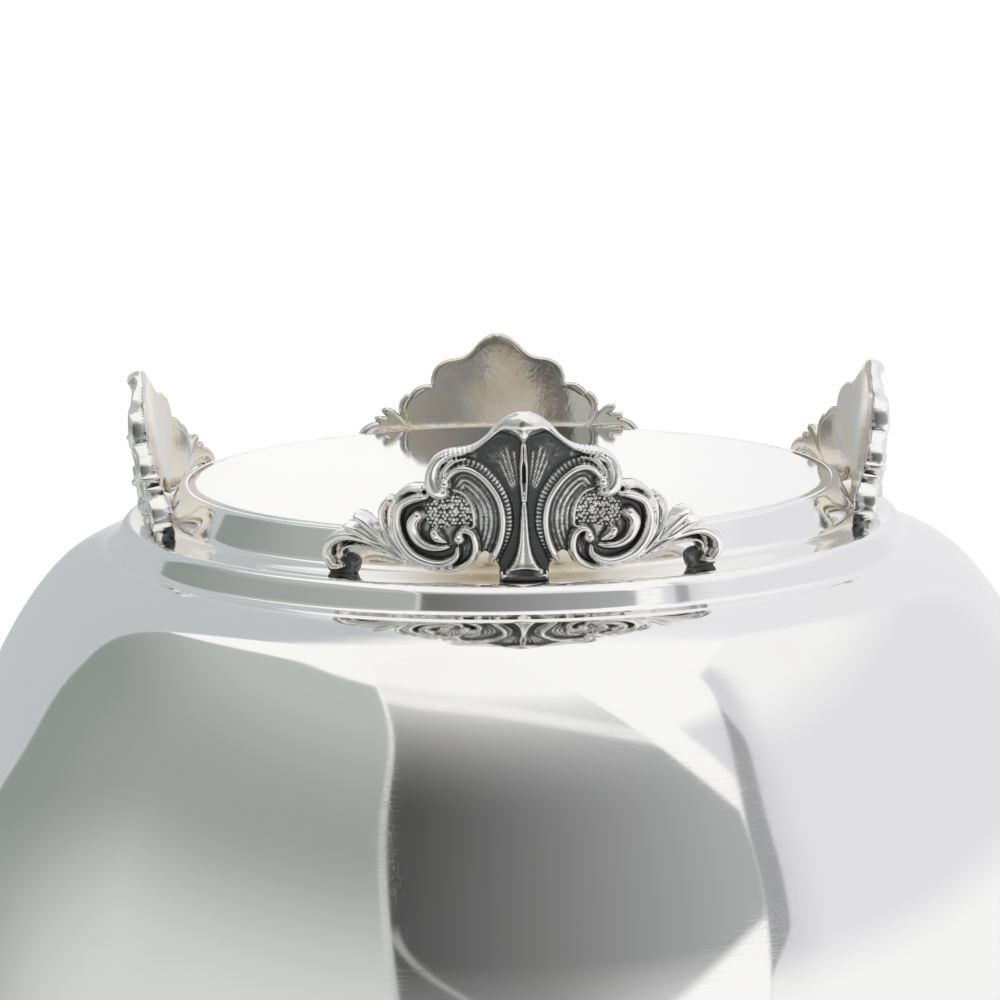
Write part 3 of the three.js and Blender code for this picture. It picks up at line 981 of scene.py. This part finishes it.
def right_screen(sky):
    """A pale screen on the right, with a darker near edge and a grey patch before it."""
    turn, tilt = sky.turn, sky.tilt
    edge = sky.total(45.0, sky.beyond(tilt, 14.0, 1.0, 2.0, 0.01))
    wedge = sky.total(47.2, sky.beyond(tilt, 30.0, 1.0, 1.0, -0.42))
    sides = sky.past(turn, wedge, 0.5), sky.before(turn, edge)
    patch = sky.product(*sides, sky.past(tilt, 23.0, 3.0), sky.before(tilt, 44.0, 3.0))
    sky.lay(patch, grey(0.75, 0.985, 0.99, 1.03))

    before_corner = sky.beyond(turn, RIGHT_CORNER, -1.0, 2.0, -0.0046)
    past_corner = sky.beyond(turn, RIGHT_CORNER, 1.0, 2.0, -0.0043)
    top = sky.total(62.0, before_corner, past_corner)
    shape = sky.product(sky.past(turn, edge), sky.before(turn, 135.0, 8.0), sky.before(tilt, top, 1.2))
    depth = sky.math("SUBTRACT", turn, edge)
    near, far = grey(0.71, 0.985, 0.99, 1.03), grey(0.81, 0.985, 0.99, 1.03)
    lilac = sky.mix(sky.ramp(depth, 4.5, 14.0), near, far)
    upper_glow = sky.product(sky.ramp(tilt, 28.0, 46.0), sky.ramp(depth, 3.0, 12.0), 0.8)
    low_glow = sky.ramp(tilt, -12.0, -3.0, 0.9, 0.0)
    colour = sky.mix(sky.math("MAXIMUM", upper_glow, low_glow), lilac, grey(0.98))
    band_width = sky.product(sky.ramp(tilt, 34.0, 48.0, 4.5, 0.0), sky.ramp(tilt, -9.0, 0.0))
    colour = sky.mix(sky.before(depth, band_width, 0.4), colour, grey(0.38, 0.98, 0.99, 1.02))
    sky.lay(shape, colour)


def overhead_breaks(sky):
    """Soft grey breaks in the white overhead, for the views from above."""
    low, high = sky.ramp(sky.tilt, -80.0, -62.0), sky.ramp(sky.tilt, -58.0, -46.0, 1.0, 0.0)
    sky.lay(sky.product(low, high, 0.35), grey(0.5))


def studio_world():
    """A white tent: a grey-green screen on one side, a dark one in front, pale walls beyond and behind.

    This isn't a plain even light. The screens' edges and greys were fitted to what the silver mirrors
    in the photograph. The camera itself sees plain white.
    """
    world = bpy.data.worlds.new("studio")
    bpy.context.scene.world = world
    world.use_nodes = True
    sky = Sky(world.node_tree)
    outer_edge = left_outer_edge(sky)
    walls_behind(sky, outer_edge)
    near_edge = left_near_edge(sky)
    left_screen(sky, near_edge, outer_edge)
    dark_screen(sky, near_edge)
    right_screen(sky)
    overhead_breaks(sky)

    seen = sky.add("ShaderNodeLightPath").outputs["Is Camera Ray"]
    sky.lay(seen, grey(1.0))
    light = sky.add("ShaderNodeBackground", {"Color": sky.colour, "Strength": 1.0})
    sky.add("ShaderNodeOutputWorld", {"Surface": light.outputs[0]})


def make_floor():
    half = 6000.0
    corners = [(-half, -half, 0), (half, -half, 0), (half, half, 0), (-half, half, 0)]
    floor = mesh_object("floor", corners, [(0, 1, 2, 3)])
    floor.location.z = -0.00005
    floor.data.materials.append(floor_material())
    floor.visible_glossy = False
    floor.visible_diffuse = False
    floor.visible_shadow = False


# The camera looks from in front and below at the bowl, and is turned over, because the bowl was
# photographed upside down. Angles are in degrees, lengths in millimetres.
CAMERA_AWAY = 199.9
CAMERA_DROP = 36.0
CAMERA_ROUND = 1.87
CAMERA_PITCH = 10.16
CAMERA_YAW = -0.29
CAMERA_ROLL = -0.69
LENS = 66.1


def turned_pair(first, second, degrees):
    """Two axes at right angles, turned in their own plane from the first towards the second."""
    c, s = math.cos(math.radians(degrees)), math.sin(math.radians(degrees))
    return first * c + second * s, second * c - first * s


def make_camera():
    data = bpy.data.cameras.new("camera")
    data.lens = LENS
    data.sensor_width = 36
    data.clip_start = 0.01
    data.clip_end = 50
    camera = bpy.data.objects.new("camera", data)
    bpy.context.scene.collection.objects.link(camera)
    bpy.context.scene.camera = camera

    around = math.radians(CAMERA_ROUND)
    place = Vector((math.sin(around), -math.cos(around), 0)) * CAMERA_AWAY
    place.z = LEDGE_Z - CAMERA_DROP
    ahead = Vector((-math.sin(around), math.cos(around), 0))
    above = Vector((0, 0, -1))
    right = ahead.cross(above)
    above, ahead = turned_pair(above, ahead, CAMERA_PITCH)
    ahead, right = turned_pair(ahead, right, CAMERA_YAW)
    right, above = turned_pair(right, above, CAMERA_ROLL)
    rotation = Matrix((right, above, -ahead)).transposed()
    camera.matrix_world = Matrix.Translation(place * MM) @ rotation.to_4x4()


# ---- Putting it together ----------------------------------------------------------------------
def stand_in(piece, node, material):
    """The fine piece takes the place of its CAD node."""
    piece.data.materials.clear()
    piece.data.materials.append(material)
    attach(piece, "root")
    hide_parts(node)


stand_in(make_body(), "bowl_body", silver("body_silver"))
stand_in(make_rim_wire(), "rim_wire", silver("rim_silver", gloss=0.06, worn=0.35))
stand_in(make_collar(), "plinth_collar", plinth_silver("plinth_silver"))
stand_in(make_plate(), "base_plate", silver("plate_silver", gloss=0.05, worn=0.35))
foot_finish = cast_silver("foot_silver")
for node, foot in make_feet().items():
    stand_in(foot, node, foot_finish)

make_floor()
studio_world()
make_camera()
bpy.context.scene.view_settings.view_transform = "Standard"
